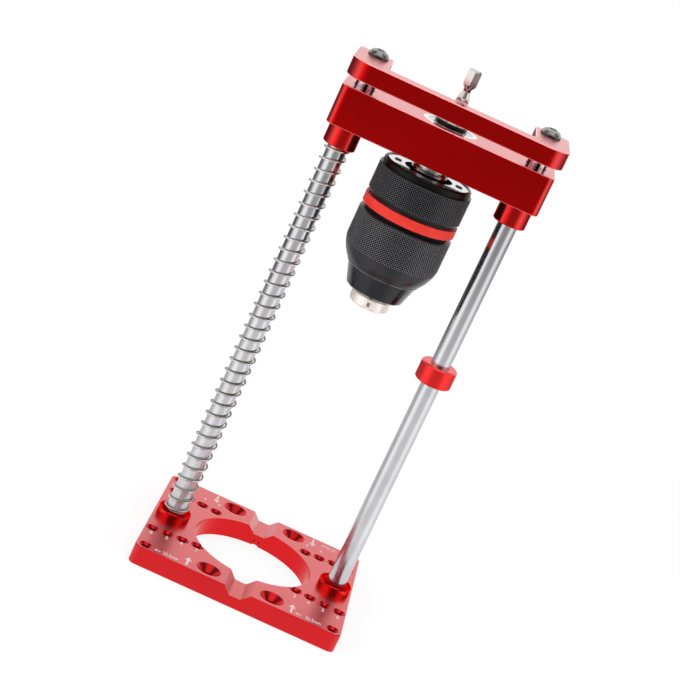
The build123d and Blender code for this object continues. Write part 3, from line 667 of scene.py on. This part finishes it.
def knurled_sleeve(name, profile, low, grip):
    """Turns a closed profile of (radius, height) points in mm, with a knurl on the line from point
    low to the next, along which grip gives the radius."""
    made = bmesh.new()
    rub_and_valley_shade = made.verts.layers.float.new("rub_and_valley_shade")  # -1 in the valleys, which are painted with shade, and 1 on the rubbed diamonds
    start_z = profile[low][1]
    end_z = profile[low + 1][1]
    around = round(2 * pi * grip(end_z) / knurl_pitch)
    rows = 2 * round((end_z - start_z) / knurl_pitch)

    def point(r, step, z, rub_and_valley_shade_fac=0.0):
        angle = 2 * pi * step / around
        corner = made.verts.new((r * cos(angle) / 1000, r * sin(angle) / 1000, z / 1000))
        corner[rub_and_valley_shade] = rub_and_valley_shade_fac
        return corner

    rings = [[point(r, k, z) for k in range(around)] for r, z in profile]
    for i, ring in enumerate(rings):
        other = rings[(i + 1) % len(rings)]
        if i != low:
            for k in range(around):
                made.faces.new((ring[k - 1], ring[k], other[k], other[k - 1])).smooth = True
    # valleys where the grooves cross, every second row half a diamond on
    valleys = [rings[low]]
    for row in range(1, rows):
        z = start_z + (end_z - start_z) * row / rows
        half = 0.5 * (row % 2)
        valleys.append([point(grip(z) - knurl_depth, k + half, z, -1.0) for k in range(around)])
    valleys.append(rings[low + 1])
    for k in range(around):
        made.faces.new((valleys[0][k - 1], valleys[0][k], valleys[1][k - 1]))
        made.faces.new((valleys[-1][k], valleys[-1][k - 1], valleys[-2][k - 1]))
    for row in range(1, rows):
        z = start_z + (end_z - start_z) * row / rows
        across = 0.5 * knurl_flat
        along = knurl_flat * (end_z - start_z) / rows
        odd = row % 2
        for k in range(around):
            step = k + 0.5 + 0.5 * odd
            corners = (
                valleys[row][k],
                valleys[row - 1][(k + odd) % around],
                valleys[row][(k + 1) % around],
                valleys[row + 1][(k + odd) % around],
            )
            flat = (
                point(grip(z), step - across, z, 1.0),
                point(grip(z - along), step, z - along, 1.0),
                point(grip(z), step + across, z, 1.0),
                point(grip(z + along), step, z + along, 1.0),
            )
            made.faces.new(flat)
            for n in range(4):
                m = (n + 1) % 4
                made.faces.new((corners[n], corners[m], flat[m], flat[n]))
    bmesh.ops.recalc_face_normals(made, faces=made.faces)
    mesh = bpy.data.meshes.new(name)
    made.to_mesh(mesh)
    made.free()
    mesh.set_sharp_from_angle(angle=radians(24))
    piece = bpy.data.objects.new(name, mesh)
    bpy.context.scene.collection.objects.link(piece)
    return piece


# mm, with heights over the nose
mouth_r, jaw_slope = 9.34, 0.2586
arc_r, arc_out, arc_up, arc_end = 22.7477, 1.6227, 33.3971, 29.9


def bore(height):
    """The radius that clears the jaws at a height over the nose."""
    return mouth_r + jaw_slope * height


def shoulder(z):
    """The front sleeve's radius at a height in the frame: an arc that meets the straight grip."""
    height = min(z - chuck_nose, arc_end)
    return arc_out + (arc_r**2 - (height - arc_up) ** 2) ** 0.5


# front sleeve: bore, lip, smooth shoulder, grip, chamfer, open top over the nut
lower_end = [(shoulder(chuck_nose + h), h) for h in (18.6, 19.8, 21.0, 22.2, 23.4, 24.6, 25.8, 26.8)]
front_grip = knurled_sleeve("front_grip", [
    (r, chuck_nose + h) for r, h in [(bore(18.0), 18.0), (18.6, 18.0), (18.9, 18.3)] + lower_end + [
        (24.1, 45.1), (23.6, 45.6), (21.6, 45.6), (21.6, 27.0), (20.5, 27.0),
        (20.5, 25.0), (18.0, 25.0), (18.0, 20.4), (bore(20.4), 20.4),
    ]
], low=10, grip=shoulder)
# rear sleeve: bore, groove over the ring, grip, and a narrow rounded rim round the end cap
rim_r, rim_out, rim_up = 1.2, 21.6, 71.3
rim = [(rim_out + rim_r * cos(radians(a)), rim_up + rim_r * sin(radians(a))) for a in range(0, 91, 18)]
rear_grip = knurled_sleeve("rear_grip", [
    (r, chuck_nose + h) for r, h in [
        (21.2, 52.7), (22.7, 52.7), (22.7, 53.9), (23.1, 53.9),
        (24.0, 55.3), (24.0, 69.0), (23.7, 69.3), (22.8, 69.3),
    ] + rim + [(21.2, 72.5)]
], low=4, grip=lambda z: 24.0)

grip_black, start = new_finish("grip_black")
at = place_in(start)
rub_and_valley_shade_fac = start.node("ShaderNodeAttribute", {"attribute_name": "rub_and_valley_shade"}, output="Fac")
cloud = grain(start, at, 90.0, 3.0)
black = cloud.between(0.3, 0.7).tint((0.026, 0.025, 0.027, 1), (0.036, 0.034, 0.037, 1))
# painted shade darkens the knurl's valleys, and the rubbed diamond tops are a lighter grey
black = (rub_and_valley_shade_fac + 1).between(0.0, 0.9).tint((0.018, 0.018, 0.020, 1), black)
black = rub_and_valley_shade_fac.between(0.2, 1.0).tint(black, (0.17, 0.17, 0.18, 1))
height = apart(start, at)[2] * 1000 - chuck_nose
shaded = 0.35 * height.between(49.0, 51.0) + 0.45 * height.between(69.0, 69.3)
black = shaded.tint(black, (0, 0, 0, 1))
# painted highlight: a grey line along the front sleeve's lip
lip_painted_highlight = height.between(18.01, 18.05) * (1 - height.between(18.25, 18.34))
shader = start.node("ShaderNodeBsdfPrincipled", None, {
    "Base Color": lip_painted_highlight.tint(black, (0.26, 0.26, 0.26, 1)),
    "Metallic": 0.5,
    "Roughness": 0.25 + (cloud - 0.5) * 0.08,
    "Specular IOR Level": 0.22,
})
start.node("ShaderNodeOutputMaterial", None, {"Surface": shader})
for piece, node, body in (
    (front_grip, "front_sleeve", "chuck_sleeve"),
    (rear_grip, "rear_sleeve", "spindle"),
):
    dress(piece, grip_black)
    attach(piece, body)
    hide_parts(node)


# The red ring between the sleeves is a turned metal band, enamelled red and pressed on the
# chuck's core. It is left plain, without the lettering of the real one.
ring_red, start = new_finish("ring_red")
cloud = grain(start, place_in(start), 150.0, 3.0)
shader = start.node("ShaderNodeBsdfPrincipled", None, {
    "Base Color": cloud.between(0.3, 0.7).tint((0.66, 0.024, 0.014, 1), (0.73, 0.034, 0.022, 1)),
    "Roughness": 0.40 + cloud * 0.08,
    "Specular IOR Level": 0.3,
})
start.node("ShaderNodeOutputMaterial", None, {"Surface": shader})
dress(nodes["chuck_ring"], ring_red)


# The studio: a white floor and surround, and three wide soft lamps. What the metal mirrors is
# graded apart: a floor that is grey ahead, bright to the front left and front right and dark at
# the sides and behind, and a surround with bright low screens and dark gaps over them.
floor_mesh = bpy.data.meshes.new("floor")
ground = bmesh.new()
bmesh.ops.create_circle(ground, cap_ends=True, segments=96, radius=12.0)
ground.to_mesh(floor_mesh)
ground.free()
floor = bpy.data.objects.new("floor", floor_mesh)
bpy.context.scene.collection.objects.link(floor)


def room(start, at):
    """Height, bearing from the front in degrees, and how far a spot lies ahead of the jig."""
    x, y, z = apart(start, at)
    bearing = start.maths("ARCTAN2", x, y * -1.0) * (180 / pi)
    ahead = bearing.between(-44, -8) * (1 - bearing.between(30, 68))
    return z, bearing, ahead


table, start = new_finish("white_table")
spot = start.node("ShaderNodeNewGeometry", output=0)
bearing, ahead = room(start, spot)[1:]
distance = start.node("ShaderNodeVectorMath", {"operation": "LENGTH"}, {0: spot}, output=1)
left = 1 - bearing.between(-104, -50)
right = bearing.between(60, 116)
brightest = 1.38
away = (
    brightest
    - ahead * (0.45 + distance.between(0.2, 1.1) * 0.60)
    - left * (0.68 + distance.between(0.35, 0.70) * 0.65 - distance.between(0.68, 0.86) * 0.16)
    - right * (0.42 + distance.between(0.3, 1.1) * 0.60)
)
beside = distance.between(0.085, 0.16)
level = away * beside + (1 - beside)
# the camera sees an even white with a faint shadow near the jig, and metal the graded level
rays = start.node("ShaderNodeLightPath")
near_cloth = start.node("ShaderNodeBsdfDiffuse", None, {"Color": (0.86, 0.86, 0.86, 1)})
glow = start.node("ShaderNodeEmission", None, {"Color": (1, 1, 1, 1), "Strength": 1.0})
faded = start.node("ShaderNodeMixShader", None, {
    0: rays * (0.78 + distance.between(0.12, 0.6) * 0.22), 1: near_cloth, 2: glow,
})
seen_in_metal = start.node("ShaderNodeEmission", None, {"Color": (1, 1, 1, 1), "Strength": level})
both = start.node("ShaderNodeMixShader", None, {
    0: rays.also("Is Glossy Ray"), 1: faded, 2: seen_in_metal,
})
start.node("ShaderNodeOutputMaterial", None, {"Surface": both})
dress(floor, table)

world = bpy.data.worlds.new("surround")
bpy.context.scene.world = world
world.use_nodes = True
world.node_tree.nodes.clear()
start = Socket(world.node_tree)
height, bearing, ahead = room(start, start.node("ShaderNodeTexCoord", output=0))
sideways = start.maths("ABSOLUTE", bearing)
gaps = sideways.between(35, 75) * (1 - sideways.between(98, 130))
gaps = gaps * height.between(0.35, 0.50) * (1 - height.between(0.90, 0.96))
screens = sideways.between(30, 45) * (1 - sideways.between(80, 95)) * (1 - height.between(0.35, 0.45))
mirrored = (1 + 0.3 * screens - ahead * (1 - height.between(0.45, 0.85)) * 0.8) * (1 - 0.80 * gaps)
rays = start.node("ShaderNodeLightPath")
glossy = rays.also("Is Glossy Ray")
shown = rays + rays.also("Is Transmission Ray")
lighting = 0.62  # the surround as a lamp; the camera sees it at 1
background = start.node("ShaderNodeBackground", None, {
    "Color": (1, 1, 1, 1),
    "Strength": lighting + shown * (1 - lighting) + glossy * (mirrored - lighting),
})
start.node("ShaderNodeOutputWorld", None, {"Surface": background})


def soft_lamp(name, at, size, power):
    """A square lamp that faces the jig's middle and doesn't show in mirrors."""
    jig_middle = Vector((0, 0, 0.13))
    light = bpy.data.lights.new(name, "AREA")
    light.size, light.energy = size, power
    lamp = bpy.data.objects.new(name, light)
    lamp.location = at
    lamp.rotation_euler = (jig_middle - Vector(at)).to_track_quat("-Z", "Y").to_euler()
    lamp.visible_glossy = False
    bpy.context.scene.collection.objects.link(lamp)


soft_lamp("lamp_above", at=(0.0, -0.10, 1.25), size=0.9, power=9.0)
soft_lamp("lamp_left", at=(-1.0, -0.75, 0.60), size=0.6, power=7.0)
soft_lamp("lamp_right", at=(1.05, -0.45, 0.55), size=0.5, power=4.0)

camera_data = bpy.data.cameras.new("camera")
camera_data.lens, camera_data.sensor_width = 104.26, 36.0
camera_data.clip_start, camera_data.clip_end = 0.05, 60.0
camera = bpy.data.objects.new("camera", camera_data)
elevation, azimuth, roll = radians(16.12), radians(-1.01), radians(24.82)
aim, reach = Vector((-0.00506, 0, 0.13172)), 0.97285
back = Vector((sin(azimuth) * cos(elevation), -cos(azimuth) * cos(elevation), sin(elevation)))
level_right = Vector((cos(azimuth), sin(azimuth), 0))
level_up = back.cross(level_right)
right = cos(roll) * level_right + sin(roll) * level_up
up = back.cross(right)
turned = Matrix((right, up, back)).transposed().to_4x4()
camera.matrix_world = Matrix.Translation(aim + back * reach) @ turned
bpy.context.scene.collection.objects.link(camera)
bpy.context.scene.camera = camera
bpy.context.scene.view_settings.view_transform = "Standard"
